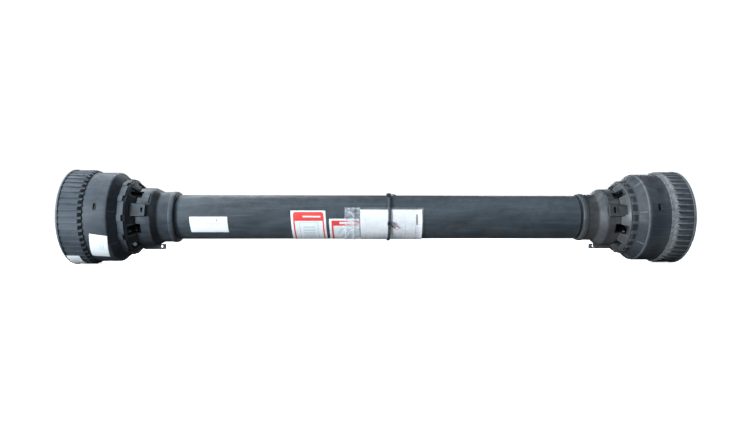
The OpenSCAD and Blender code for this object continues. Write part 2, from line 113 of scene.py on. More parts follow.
class Shader:
    """A material's node tree with short calls for the nodes used here."""

    def __init__(self, name):
        self.material = bpy.data.materials.new(name)
        self.material.use_nodes = True
        self.tree = self.material.node_tree
        self.surface = self.tree.nodes["Principled BSDF"]
        self.coords = self.tree.nodes.new("ShaderNodeTexCoord").outputs["Object"]

    def link(self, source, target):
        self.tree.links.new(source, target)

    def set(self, **values):
        for name, value in values.items():
            self.surface.inputs[name.replace("_", " ")].default_value = value

    def noise(self, scale, detail=4.0, stretch=(1, 1, 1), rough=0.55, distortion=0.0):
        """A noise value from 0 to 1; scale is in features a metre, stretched per axis."""
        mapping = self.tree.nodes.new("ShaderNodeMapping")
        mapping.inputs["Scale"].default_value = stretch
        self.link(self.coords, mapping.inputs["Vector"])
        texture = self.tree.nodes.new("ShaderNodeTexNoise")
        texture.inputs["Scale"].default_value = scale
        texture.inputs["Detail"].default_value = detail
        texture.inputs["Roughness"].default_value = rough
        texture.inputs["Distortion"].default_value = distortion
        self.link(mapping.outputs["Vector"], texture.inputs["Vector"])
        return texture.outputs["Fac"]

    def ramp(self, value, low, high, to_low=0.0, to_high=1.0):
        """value from low..high to to_low..to_high, held at the ends."""
        node = self.tree.nodes.new("ShaderNodeMapRange")
        self.link(value, node.inputs["Value"])
        node.inputs["From Min"].default_value = low
        node.inputs["From Max"].default_value = high
        node.inputs["To Min"].default_value = to_low
        node.inputs["To Max"].default_value = to_high
        return node.outputs["Result"]

    def math(self, operation, a, b):
        node = self.tree.nodes.new("ShaderNodeMath")
        node.operation = operation
        for socket, value in zip(node.inputs, (a, b)):
            if isinstance(value, (int, float)):
                socket.default_value = value
            else:
                self.link(value, socket)
        return node.outputs["Value"]

    def mix(self, factor, a, b):
        """Colour a where factor is 0 and b where it is 1."""
        node = self.tree.nodes.new("ShaderNodeMix")
        node.data_type = "RGBA"
        self.link(factor, node.inputs["Factor"])
        sockets = [s for s in node.inputs if s.type == "RGBA"]
        for socket, value in zip(sockets, (a, b)):
            if isinstance(value, tuple):
                socket.default_value = (*value, 1.0)
            else:
                self.link(value, socket)
        return [s for s in node.outputs if s.type == "RGBA"][0]

    def normal_part(self, axis):
        geometry = self.tree.nodes.new("ShaderNodeNewGeometry")
        split = self.tree.nodes.new("ShaderNodeSeparateXYZ")
        self.link(geometry.outputs["Normal"], split.inputs["Vector"])
        return split.outputs[axis]

    def attribute(self, name):
        node = self.tree.nodes.new("ShaderNodeAttribute")
        node.attribute_name = name
        return node.outputs["Fac"]

    def bump(self, height, distance, strength=0.5, under=None):
        node = self.tree.nodes.new("ShaderNodeBump")
        node.inputs["Distance"].default_value = distance
        node.inputs["Strength"].default_value = strength
        self.link(height, node.inputs["Height"])
        if under is not None:
            self.link(under, node.inputs["Normal"])
        return node.outputs["Normal"]

    def finish(self, colour=None, roughness=None, normal=None):
        for source, target in ((colour, "Base Color"), (roughness, "Roughness"), (normal, "Normal")):
            if source is not None:
                self.link(source, self.surface.inputs[target])
        return self.material


def worn_plastic(name, dark, pale, dust, rough, along=1.0, dust_share=0.5, edge=(0.16, 0.18, 0.20)):
    """Moulded black plastic that has lain outdoors: cloudy, streaked along X, scuffed and dusty, with painted
    highlights and painted shade from a mesh attribute.
    """
    s = Shader(name)
    cloud = s.noise(16, 6, (along, 1, 1), 0.6, 0.4)
    colour = s.mix(s.ramp(cloud, 0.36, 0.66), dark, pale)
    streak = s.noise(210, 5, (0.06, 1, 1), 0.6)
    colour = s.mix(s.ramp(streak, 0.5, 0.78, 0.0, 0.5), colour, tuple(1.6 * v for v in pale))
    grime_and_shade = s.noise(48, 8, (0.7, 1, 1), 0.65, 0.8)
    colour = s.mix(s.ramp(grime_and_shade, 0.52, 0.7, 0.0, 0.42), colour, tuple(0.42 * v for v in dark))
    # dust settles on what faces up, in patches
    settle = s.math("MULTIPLY", s.ramp(s.normal_part("Z"), -0.1, 1.0), s.ramp(s.noise(75, 8), 0.42, 0.72))
    colour = s.mix(s.math("MULTIPLY", settle, dust_share), colour, dust)
    # soil splashed from below
    soil = s.math("MULTIPLY", s.ramp(s.normal_part("Z"), 0.15, -0.9), s.ramp(s.noise(34, 7), 0.46, 0.68))
    colour = s.mix(s.math("MULTIPLY", soil, 0.4), colour, tuple(0.55 * v for v in dust))
    # short pale scratches, and rubbed edges; the same pale mix also paints highlights where the mesh
    # attribute asks for it
    scratch = s.noise(900, 2, (0.05, 0.5, 1), 0.5, 0.3)
    colour = s.mix(s.ramp(scratch, 0.7, 0.76, 0.0, 0.35), colour, (0.15, 0.165, 0.18))
    rubbed_and_lit = s.ramp(s.attribute("wear_and_shading"), 0.0, 1.0)
    worn_and_lit = s.math("MULTIPLY", rubbed_and_lit, s.ramp(s.noise(140, 6), 0.3, 0.6, 0.45, 1.0))
    colour = s.mix(s.math("MULTIPLY", worn_and_lit, 0.9), colour, edge)
    # painted shade: where the mesh attribute is below 0 the colour goes towards near black, in recesses,
    # inside the bells and on faces turned from the key light
    colour = s.mix(s.ramp(s.attribute("wear_and_shading"), 0.0, -1.0, 0.0, 0.85), colour, (0.006, 0.007, 0.009))
    roughness = s.ramp(s.noise(60, 6, (0.5, 1, 1)), 0.3, 0.72, rough[0], rough[1])
    wave = s.bump(s.noise(38, 3), 0.004, 0.10)
    grain = s.bump(s.noise(1500, 3), 0.0004, 0.16, wave)
    lines = s.bump(streak, 0.0012, 0.10, grain)
    s.set(Specular_IOR_Level=0.34)
    return s.finish(colour, roughness, lines)


def metal(name, colour, spot, rough, spot_share=0.5, metallic=1.0, stretch=(1, 1, 1), bump=0.12):
    """Bare or oiled steel with stains in patches of the second colour."""
    s = Shader(name)
    base = s.mix(s.ramp(s.noise(55, 7, stretch, 0.6), 0.35, 0.7), colour, tuple(0.72 * v for v in colour))
    stains = s.ramp(s.noise(90, 9, (1, 1, 1), 0.7, 0.6), 0.55, 0.7, 0.0, spot_share)
    base = s.mix(stains, base, spot)
    roughness = s.ramp(s.noise(160, 6, stretch), 0.3, 0.75, rough[0], rough[1])
    s.set(Metallic=metallic)
    return s.finish(base, roughness, s.bump(s.noise(600, 5, stretch), 0.0006, bump))


def printed(name, colour, faded, rough=(0.32, 0.5)):
    """Printed film or paper: a little faded and rubbed, with a faint cockle."""
    s = Shader(name)
    tone = s.mix(s.ramp(s.noise(65, 6), 0.42, 0.7, 0.0, 0.85), colour, faded)
    speck = s.ramp(s.noise(500, 2), 0.74, 0.80, 0.0, 0.22)
    tone = s.mix(speck, tone, tuple(0.45 * v for v in faded))
    roughness = s.ramp(s.noise(140, 4), 0.3, 0.7, rough[0], rough[1])
    return s.finish(tone, roughness, s.bump(s.noise(110, 3), 0.0008, 0.08))


def clear_film(name):
    """Creased clear film, milky where it is crumpled."""
    s = Shader(name)
    crumple = s.noise(120, 6, (0.6, 1, 1), 0.6, 1.2)
    split = s.tree.nodes.new("ShaderNodeSeparateXYZ")
    s.link(s.coords, split.inputs["Vector"])
    loose = s.ramp(split.outputs["X"], LEAFLET_FROM * MM, (LEAFLET_FROM - 1.5) * MM)
    haze = s.math("MULTIPLY", s.ramp(crumple, 0.4, 0.7, 0.10, 0.46), s.ramp(loose, 0.0, 1.0, 0.22, 1.0))
    s.link(haze, s.surface.inputs["Alpha"])
    tone = s.mix(s.ramp(crumple, 0.45, 0.7), (0.75, 0.8, 0.84), (0.9, 0.92, 0.94))
    roughness = s.ramp(s.noise(300, 4), 0.3, 0.7, 0.1, 0.3)
    return s.finish(tone, roughness, s.bump(crumple, 0.002, 0.25))


DUST = (0.19, 0.185, 0.175)
SOIL_DUST = (0.20, 0.185, 0.165)
tube_plastic = worn_plastic(
    "tube_plastic", (0.032, 0.041, 0.050), (0.066, 0.081, 0.096), DUST, (0.38, 0.62), 0.35, 0.22)
bell_plastic = worn_plastic(
    "bell_plastic", (0.023, 0.031, 0.042), (0.040, 0.052, 0.067), DUST, (0.42, 0.66), 1.0, 0.18)
cone_plastic = worn_plastic(
    "cone_plastic", (0.020, 0.026, 0.034), (0.042, 0.052, 0.064), DUST, (0.34, 0.56), 1.0, 0.24)
dusty_bell_plastic = worn_plastic(
    "dusty_bell_plastic", (0.024, 0.030, 0.039), (0.052, 0.059, 0.069), DUST, (0.42, 0.66), 1.0, 0.42,
    (0.36, 0.37, 0.37))
dusty_cone_plastic = worn_plastic(
    "dusty_cone_plastic", (0.020, 0.024, 0.030), (0.060, 0.062, 0.064), SOIL_DUST, (0.32, 0.56), 1.0, 0.5)
BELL_FINISH = {"tractor": bell_plastic, "implement": dusty_bell_plastic}
CONE_FINISH = {"tractor": cone_plastic, "implement": dusty_cone_plastic}
forged_steel = metal("forged_steel", (0.060, 0.060, 0.060), (0.11, 0.062, 0.036), (0.42, 0.68), 0.45, 0.6)
ground_steel = metal("ground_steel", (0.52, 0.51, 0.49), (0.27, 0.20, 0.13), (0.2, 0.42), 0.3)
dark_steel = metal("dark_steel", (0.16, 0.16, 0.165), (0.12, 0.08, 0.05), (0.3, 0.5), 0.35)
zinc_steel = metal("zinc_steel", (0.56, 0.55, 0.50), (0.34, 0.32, 0.26), (0.24, 0.46), 0.5)
tube_steel = metal("tube_steel", (0.33, 0.325, 0.31), (0.16, 0.11, 0.07), (0.28, 0.52), 0.4, 1.0, (0.1, 1, 1))
brass = metal("brass", (0.66, 0.48, 0.20), (0.26, 0.18, 0.09), (0.24, 0.45), 0.45)
tie_plastic = worn_plastic(
    "tie_plastic", (0.008, 0.009, 0.010), (0.020, 0.021, 0.023), DUST, (0.34, 0.5), 1.0, 0.12)
white_vinyl = printed("white_vinyl", (0.86, 0.88, 0.89), (0.78, 0.82, 0.85))
white_paper = printed("white_paper", (0.90, 0.89, 0.90), (0.82, 0.82, 0.85), (0.4, 0.6))
red_print = printed("red_print", (0.78, 0.055, 0.050), (0.66, 0.085, 0.075))
grey_print = printed("grey_print", (0.36, 0.42, 0.48), (0.46, 0.52, 0.57))
pale_print = printed("pale_print", (0.64, 0.72, 0.77), (0.57, 0.65, 0.71))
ink_print = printed("ink_print", (0.05, 0.055, 0.065), (0.12, 0.13, 0.14))
pink_print = printed("pink_print", (0.80, 0.42, 0.42), (0.74, 0.52, 0.52))
film = clear_film("film")


def rubber_material():
    s = Shader("seal_rubber")
    colour = s.mix(s.ramp(s.noise(160, 6), 0.4, 0.7), (0.020, 0.020, 0.021), (0.055, 0.050, 0.044))
    roughness = s.ramp(s.noise(260, 5), 0.3, 0.7, 0.55, 0.8)
    return s.finish(colour, roughness, s.bump(s.noise(900, 3), 0.0003, 0.2))


def nylon_material():
    s = Shader("nylon")
    colour = s.mix(s.ramp(s.noise(80, 7), 0.4, 0.7), (0.17, 0.15, 0.12), (0.34, 0.31, 0.25))
    s.set(Subsurface_Weight=0.1)
    roughness = s.ramp(s.noise(120, 5), 0.3, 0.7, 0.4, 0.6)
    return s.finish(colour, roughness, s.bump(s.noise(700, 3), 0.0004, 0.15))


rubber = rubber_material()
nylon = nylon_material()


# ---- mesh building ----

def near_end(side, u, r, angle):
    """A point near one end, in metres."""
    a = math.radians(angle)
    return Vector((side * (CROSS_X + u), -r * math.cos(a), r * math.sin(a))) * MM


def on_tube(x, r, angle):
    """A point round the shaft at a place along X, in metres."""
    a = math.radians(angle)
    return Vector((x, -r * math.cos(a), r * math.sin(a))) * MM


class Shape:
    """A growing mesh. Points are metres; each point's wear value lightens it up to 1, as rubbed wear and
    painted highlight, and below 0 darkens it as painted shade.
    """

    def __init__(self, side=0):
        self.side = side
        self.points = []
        self.wear_and_shading = []
        self.faces = []
        self.slots = []

    def at(self, along, r, angle):
        if self.side:
            return near_end(self.side, along, r, angle)
        return on_tube(along, r, angle)

    def add(self, points, faces, wear_and_shading=None, slot=0):
        start = len(self.points)
        self.points += points
        self.wear_and_shading += wear_and_shading or [0.0] * len(points)
        self.faces += [[start + i for i in face] for face in faces]
        self.slots += [slot] * len(faces)

    def sweep(self, columns, closed):
        """Joins columns, each (angle, outline of (along, r, wear)), into a ring or a capped arc."""
        rows = len(columns[0][1])
        points = [self.at(row[0], row[1], angle) for angle, outline in columns for row in outline]
        wear_and_shading = [row[2] if len(row) > 2 else 0.0 for _, outline in columns for row in outline]
        count = len(columns)
        faces = []
        for i in range(count if closed else count - 1):
            for j in range(rows):
                a = i * rows + j
                b = i * rows + (j + 1) % rows
                c = (i + 1) % count * rows + (j + 1) % rows
                d = (i + 1) % count * rows + j
                faces.append([a, b, c, d])
        if not closed:
            faces.append(list(range(rows)))
            faces.append([(count - 1) * rows + j for j in range(rows)])
        self.add(points, faces, wear_and_shading)

    def lathe(self, outline, steps=192):
        self.sweep([(360.0 * i / steps, outline) for i in range(steps)], True)

    def arc(self, outline, low, high, steps=None):
        steps = steps or max(1, round(abs(high - low) / 2.5))
        self.sweep([(low + (high - low) * i / steps, outline) for i in range(steps + 1)], False)

    def prism(self, along, angle, outline, low, high, wear_and_shading=0.0):
        """A flat outline of (along, across) offsets, pushed outwards from radius low to high."""
        a = math.radians(angle)
        outwards = Vector((0, -math.cos(a), math.sin(a)))
        across = Vector((0, math.sin(a), math.cos(a)))
        base = Vector((self.side * (CROSS_X + along) if self.side else along, 0, 0))
        turn = self.side or 1
        points = [
            (base + Vector((turn * p[0], 0, 0)) + across * p[1] + outwards * r) * MM
            for r in (low, high)
            for p in outline
        ]
        n = len(outline)
        faces = [list(range(n)), [n + i for i in range(n)]]
        faces += [[i, (i + 1) % n, n + (i + 1) % n, n + i] for i in range(n)]
        self.add(points, faces, [wear_and_shading] * len(points))

    def mesh(self, name):
        mesh = bpy.data.meshes.new(name)
        mesh.from_pydata(self.points, [], self.faces)
        attribute = mesh.attributes.new("wear_and_shading", "FLOAT", "POINT")
        attribute.data.foreach_set("value", self.wear_and_shading)
        mesh.polygons.foreach_set("material_index", self.slots)
        bm = bmesh.new()
        bm.from_mesh(mesh)
        bmesh.ops.remove_doubles(bm, verts=bm.verts, dist=1e-7)
        bmesh.ops.recalc_face_normals(bm, faces=bm.faces)
        bm.to_mesh(mesh)
        bm.free()
        return mesh

    def object(self, name):
        made = bpy.data.objects.new(name, self.mesh(name))
        bpy.context.scene.collection.objects.link(made)
        return made


def carve(target, tool, operation="DIFFERENCE"):
    """Cuts the tool's shape out of the target's mesh, or joins it on."""
    cutter = tool.object("cutter")
    modifier = target.modifiers.new("carve", "BOOLEAN")
    modifier.solver = "EXACT"
    modifier.operation = operation
    modifier.object = cutter
    bpy.context.view_layer.update()
    result = bpy.data.meshes.new_from_object(target.evaluated_get(bpy.context.evaluated_depsgraph_get()))
    target.modifiers.clear()
    old = target.data
    result.name = target.name
    target.data = result
    bpy.data.meshes.remove(old)
    bpy.data.objects.remove(cutter)


def merge(target, other):
    """Adds the other object's mesh to the target's, and removes the other."""
    bm = bmesh.new()
    bm.from_mesh(target.data)
    bm.from_mesh(other.data)
    bm.to_mesh(target.data)
    bm.free()
    bpy.data.objects.remove(other)


def smooth(target, angle=35):
    target.data.polygons.foreach_set("use_smooth", [True] * len(target.data.polygons))
    target.data.set_sharp_from_angle(angle=math.radians(angle))


def bevel(target, width, segments=2, angle=32):
    modifier = target.modifiers.new("edges", "BEVEL")
    modifier.width = width * MM
    modifier.segments = segments
    modifier.limit_method = "ANGLE"
    modifier.angle_limit = math.radians(angle)
    modifier.harden_normals = True
    modifier.use_clamp_overlap = True


def dress(target, materials, body, replaced=(), edge=0.0):
    """Gives a finished piece its materials, rounded edges, body and material slot."""
    for material in materials:
        target.data.materials.append(material)
    smooth(target)
    if edge:
        bevel(target, edge)
    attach(target, body)
    if replaced:
        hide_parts(*replaced)
    return target


def rounded(length, width, radius, steps=4):
    """A rectangle with round corners, as (along, across) offsets from its middle."""
    out = []
    for k, (sx, sy) in enumerate(((1, 1), (-1, 1), (-1, -1), (1, -1))):
        for i in range(steps + 1):
            a = math.radians(90 * k + 90 * i / steps)
            out.append((sx * (length / 2 - radius) + radius * math.cos(a),
                        sy * (width / 2 - radius) + radius * math.sin(a)))
    return out


# places across one slat, from crest to foot, and whether its inner end is a tooth there
SLAT_STEPS = (
    (0.0, False), (0.08, False), (0.2, False), (0.56, False), (0.58, True), (0.93, True), (1.0, True),
)

# the slot in each latch tab
SLOT_OUTLINE = {-1: rounded(3.2, 8.0, 1.4), 1: rounded(4.6, 11.5, 2.2)}


# ---- the guard's bells ----

def slatted_rim(end, side):
    """The ribbed mouth: slats that rise to a crest and step down, with toothed inner ends."""
    pitch = 360.0 / RIB_COUNT

    def column(t, toothed):
        h = CREST_R - (CREST_R - FOOT_R) * t
        out = CREST_R - 0.4 - 0.9 * t
        inner = 75.0 - 1.5 * t
        # implement end: crests rubbed paler, valleys darkened as painted shade; tractor end: only the crest
        # is rubbed
        if side > 0:
            wear_and_shading = {0.0: 1.0, 0.08: 1.0, 0.56: -0.2, 0.58: -0.2, 0.93: -0.3, 1.0: 1.0}.get(t, -0.1)
        else:
            wear_and_shading = {0.0: 0.8, 1.0: 0.1}.get(t, 0.0)
        # gaps between the teeth: painted shade on the tractor end, painted highlight on the implement end
        gap_shading = -0.7 if side < 0 else 0.35
        if toothed:
            start = [(45.7, 76.2, 0.4), (46.0, h - 0.3, 0.5), (46.6, h, 0.4)]
        else:
            start = [(45.7, 75.4, gap_shading), (50.9, h - 0.5, gap_shading), (51.6, h, wear_and_shading)]
        return [(RING_END, 75.2, 0.1)] + start + [
            (80.4, out, 0.4 * wear_and_shading), (81.2, out + 0.1, 0.1),
            (81.9, RIM_R, 0.35), (84.2, RIM_R, 0.5), (GUARD_END, RIM_R - 0.8, 0.5), (GUARD_END, 73.1, 0.2),
            (80.0, inner, 0.0), (52.0, inner, 0.0), (RING_END, 73.5, 0.0),
        ]

    columns = []
    for i in range(RIB_COUNT):
        crest = pitch * i
        for t, toothed in SLAT_STEPS:
            columns.append((crest - side * pitch * t, column(t, toothed)))
    shape = Shape(side)
    shape.sweep(columns, True)
    rim = shape.object(f"{end}_slatted_rim")
    dress(rim, [BELL_FINISH[end]], GUARD_BODY[end], [f"{end}_bell_rim"], 0.22)


def bell_ring(end, side):
    """Smooth ring, shoulder and the notched band behind it, with painted shade on the shoulder and inside the
    bell.
    """
    shape = Shape(side)
    # painted shade: values below 0 darken the shoulder and the inside of the bell
    grime_and_shade = -0.3 if side < 0 else -0.28
    shape.lathe([
        (RING_END, RING_R, 0.1), (30, RING_R, 0), (14, RING_R, 0), (10.8, 74.9, 0.15), (9.4, 74.5, 0.35),
        (8.4, 73.7, 0.3), (7.6, 72.8, grime_and_shade), (-2.6, 64.6, grime_and_shade), (-3.8, 63.2, grime_and_shade), (-4.6, 62.9, grime_and_shade),
        (-4.6, 61.2, 0), (-3, 61.2, -0.3), (8, 70.3, -0.4), (12, 71.8, -0.4), (54, 71.8, -0.3), (54, 73.4, 0),
        (RING_END, 73.4, 0),
    ], 216)
    ring = shape.object(f"{end}_bell_shell")
    slot = Shape(side)
    slot.prism(26.4, LATCH_ANGLE, rounded(5.4, 11.4, 2.2), 66, 82)
    carve(ring, slot)
    band = Shape(side)
    for i in range(12):
        middle = 30 * i - 2.0
        # narrow blocks: lighter as painted highlight on the tractor end, darker as painted shade on the
        # implement end
        reach, shade = (63.9, 0.25) if side < 0 else (62.4, -0.5)
        band.arc([(-0.8, 60.9), (-10.4, 60.9), (-10.4, reach, shade), (-1.3, reach + 0.2, shade)],
                 middle - 4.8, middle + 4.8, 5)
        # on the implement end the middle of each wide block sits lower and is painted dark as shade in the
        # pocket; its outer parts are a little paler
        if side < 0:
            spans = ((4.7, 25.3, 63.3, 0.15),)
        else:
            spans = ((4.7, 10.5, 63.3, 0.2), (10.5, 20.5, 62.2, -0.5), (20.5, 25.3, 63.3, 0.2))
        for low, high, r, wear_and_shading in spans:
            block = [(-3.6, 61.1), (-13.4, 61.1), (-13.4, r, wear_and_shading), (-3.6, r, wear_and_shading)]
            band.arc(block, middle + low, middle + high)
    # moulding seams on the shoulder
    for i in range(8):
        at = 45 * i + 6
        band.arc([(7.6, 71.5), (-1.8, 63.9), (-2.3, 64.9, 0.6), (7.2, 73.3, 0.6)], at, at + 0.9, 1)
    merge(ring, band.object("band"))
    dress(ring, [BELL_FINISH[end]], GUARD_BODY[end], [f"{end}_bell"], 0.3)


def windows(shape, places, low, high, width):
    for i in places:
        middle = LATCH_ANGLE + WINDOW_PITCH * i
        shape.prism((low + high) / 2, middle, rounded(high - low, width, 1.2, 2), 40, 70)


def cone_shell(end, side):
    """The cone with its windows, and the two latch tabs that reach over the collar."""
    shape = Shape(side)
    # painted shade: the tractor cone's slope, which faces away from the key light, is darkened; the implement
    # cone is not
    grime_and_shade = -0.55 if side < 0 else 0.0
    shape.lathe([
        (-3, 61, grime_and_shade), (-14.6, 61, grime_and_shade), (-15.4, 60.6, 0.3), (-16.2, 59.4, grime_and_shade), (-22, 55, grime_and_shade),
        (-26.2, 51.4, grime_and_shade), (-27, 50.6, 0.3), (-27, 48.1, 0), (-22, 48.1, 0), (-13, 57.5, 0), (-3, 57.5, 0),
    ])
    cone = shape.object(f"{end}_cone_shell")
    holes = Shape(side)
    windows(holes, CONE_WINDOWS, -28.5, -17.2, 17)
    carve(cone, holes)
    for turn in (0, 180):
        tab = Shape(side)
        tab_end = -44.4 if side < 0 else -48.0
        outline = rounded(-15 - tab_end, LATCH_WIDTH, 1.0, 2)
        tab.prism((tab_end - 15) / 2, LATCH_ANGLE + turn, outline, 49.6, 54.0)
        if side > 0:
            for u in (-47.2, -43.8):
                tab.prism(u, LATCH_ANGLE + turn, rounded(1.3, LATCH_WIDTH - 3.0, 0.4, 1), 53.5, 56.2, 1.6)
        carve(cone, tab, "UNION")
        slot = Shape(side)
        slot.prism(-39.3, LATCH_ANGLE + turn, SLOT_OUTLINE[side], 47, 60)
        carve(cone, slot)
        # shallow panel between two ribs, and the frame round the slot
        panel = Shape(side)
        panel.prism(-26.5, LATCH_ANGLE + turn, rounded(15, LATCH_WIDTH - 4.6, 1.2, 2), 53.4, 60)
        carve(cone, panel)
    # lips below and above each window
    lips = Shape(side)
    for i in CONE_WINDOWS:
        middle = LATCH_ANGLE + WINDOW_PITCH * i
        for edge in (-1, 1):
            low = middle + edge * 9.6
            lip = [(-26.6, 50.6), (-17, 58.2), (-16.6, 59.3, 0.8), (-26.6, 51.7, 0.8)]
            lips.arc(lip, low, low + edge * 1.2, 1)
    merge(cone, lips.object("lips"))
    dress(cone, [CONE_FINISH[end]], GUARD_BODY[end], [f"{end}_cone"], 0.35)


def collar_shell(end, side):
    """The collar that turns on the bearing ring, with latch slots, windows, neck and chain lug."""
    neck = 42.4 if side < 0 else 40.2
    bore = (TUBE_R if side < 0 else INNER_TUBE_R) + 0.05
    # painted shade: the tractor collar's slope down to the neck, which faces away from the key light, is
    # darkened; the implement one is a little paler
    grime_and_shade = -0.6 if side < 0 else 0.1
    shape = Shape(side)
    shape.lathe([
        (-20, 47.9, 0), (-27.5, 47.9, 0), (-27.5, 48.4, 0.4), (-28.2, COLLAR_R, 0.3), (-46, COLLAR_R, 0),
        (-48.6, 48.8, 0.25), (-50.0, 48.3, 0.3), (-50.8, 47.8, grime_and_shade), (-58.4, neck + 1.7, grime_and_shade),
        (-60, neck + 0.4, 0.1), (-62, neck, 0), (-77.8, neck, 0), (-78.4, neck + 0.7, 0.4),
        (-79.0, neck + 0.8, 0.1), (-82.4, neck + 0.8, 0.15), (-84.6, neck + 0.4, 0.2), (-86.6, neck - 0.7, 0),
        (-87.0, neck - 1.4, 0), (-87.0, bore, 0), (-58, bore, 0), (-58, bore - 2.5, 0),
        (-56.5, bore - 2.5, 0),
        (-56.5, bore + 2, 0), (-50.5, 46, 0), (-20, 46, 0),
    ])
    collar = shape.object(f"{end}_collar_shell")
    extra = Shape(side)
    # raised panel beside each latch
    for turn in (0, 180):
        at = LATCH_ANGLE + turn
        extra.arc([(-48, 48.4), (-29, 48.4), (-29, 50.5, 0.5), (-47, 50.5, 0.4)], at + 14.5, at + 38, 10)
    carve(collar, extra, "UNION")
    lug = Shape(side)
    lug.prism(-45, -90, [(-17, -5), (17, -5), (17, 5), (-17, 5)], 46.3, 55)
    carve(collar, lug, "UNION")
    cuts = Shape(side)
    windows(cuts, COLLAR_WINDOWS, -35.5, -18.0, 17)
    for turn in (0, 180):
        cuts.prism(-48.0, LATCH_ANGLE + turn, rounded(6.6, 18, 0.8, 2), 46.5 if side < 0 else 48.2, 60)
        cuts.prism(-39.3, LATCH_ANGLE + turn, SLOT_OUTLINE[side], 46.5, 60)
    carve(collar, cuts)
    eye = Shape(side)
    steps = 24
    centre = 50.2
    ring = [(-56.5 + 3 * math.cos(2 * math.pi * i / steps), centre + 3 * math.sin(2 * math.pi * i / steps))
            for i in range(steps)]
    points = [Vector((side * (CROSS_X + u), w, -r)) * MM for w in (-15, 15) for u, r in ring]
    eye.add(points, [list(range(steps)), [steps + i for i in range(steps)]]
            + [[i, (i + 1) % steps, steps + (i + 1) % steps, steps + i] for i in range(steps)])
    carve(collar, eye)
    slit = Shape(side)
    slit.prism(-56.5, -90, [(-0.9, -9), (0.9, -9), (0.9, 9), (-0.9, 9)], centre, 60)
    carve(collar, slit)
    dress(collar, [CONE_FINISH[end]], GUARD_BODY[end], [f"{end}_collar"], 0.35)


def guard_tube(name, node, body, radius, wall, low, high, material):
    shape = Shape()
    shape.lathe([
        (low, radius - 0.4, 0.4), (low + 0.4, radius, 0.3), (low + 3, radius, 0), (high - 3, radius, 0),
        (high - 0.4, radius, 0.3), (high, radius - 0.4, 0.5), (high, radius - wall, 0),
        (low, radius - wall, 0),
    ], 256)
    dress(shape.object(name), [material], body, [node])


# ---- labels, leaflet, film and ties ----

def wrapped(name, body, replaced, materials, spec, paint, cell=0.6, thick=0.25, surface=None):
    """A sheet that lies round the tube. spec is (x from, x to, angle low, angle high, radius, skew).
    paint(along, down) gives the material's number at a place, in millimetres from the top left corner."""
    x0, x1, low, high, radius, skew = spec
    height = math.radians(high - low) * radius
    columns = max(2, round((x1 - x0) / cell))
    rows = max(2, round(height / cell))
    shape = Shape()
    points = []
    for i in range(columns + 1):
        for j in range(rows + 1):
            along = (x1 - x0) * i / columns
            down = height * j / rows
            r = radius + (surface(along, down) if surface else 0.0)
            points.append(on_tube(x0 + along + skew * down, r, high - math.degrees(down / radius)))
    for i in range(columns):
        for j in range(rows):
            a = i * (rows + 1) + j
            along = (x1 - x0) * (i + 0.5) / columns
            down = height * (j + 0.5) / rows
            shape.faces.append([a, a + 1, a + rows + 2, a + rows + 1])
            shape.slots.append(paint(along, down))
    shape.points = points
    shape.wear_and_shading = [0.0] * len(points)
    sheet = shape.object(name)
    outwards = sum(p.normal.dot(Vector((0, p.center.y, p.center.z))) for p in sheet.data.polygons)
    if outwards < 0:
        sheet.data.flip_normals()
    dress(sheet, materials, body, replaced)
    solid = sheet.modifiers.new("thickness", "SOLIDIFY")
    solid.thickness = thick * MM
    solid.offset = -1
    return sheet


def inside(along, down, left, right, top, bottom, corner=0.0):
    """True in a rectangle, with round corners of that radius."""
    if not (left <= along <= right and top <= down <= bottom):
        return False
    dx = max(left + corner - along, along - right + corner, 0.0)
    dy = max(top + corner - down, down - bottom + corner, 0.0)
    return dx * dx + dy * dy <= corner * corner + 1e-9


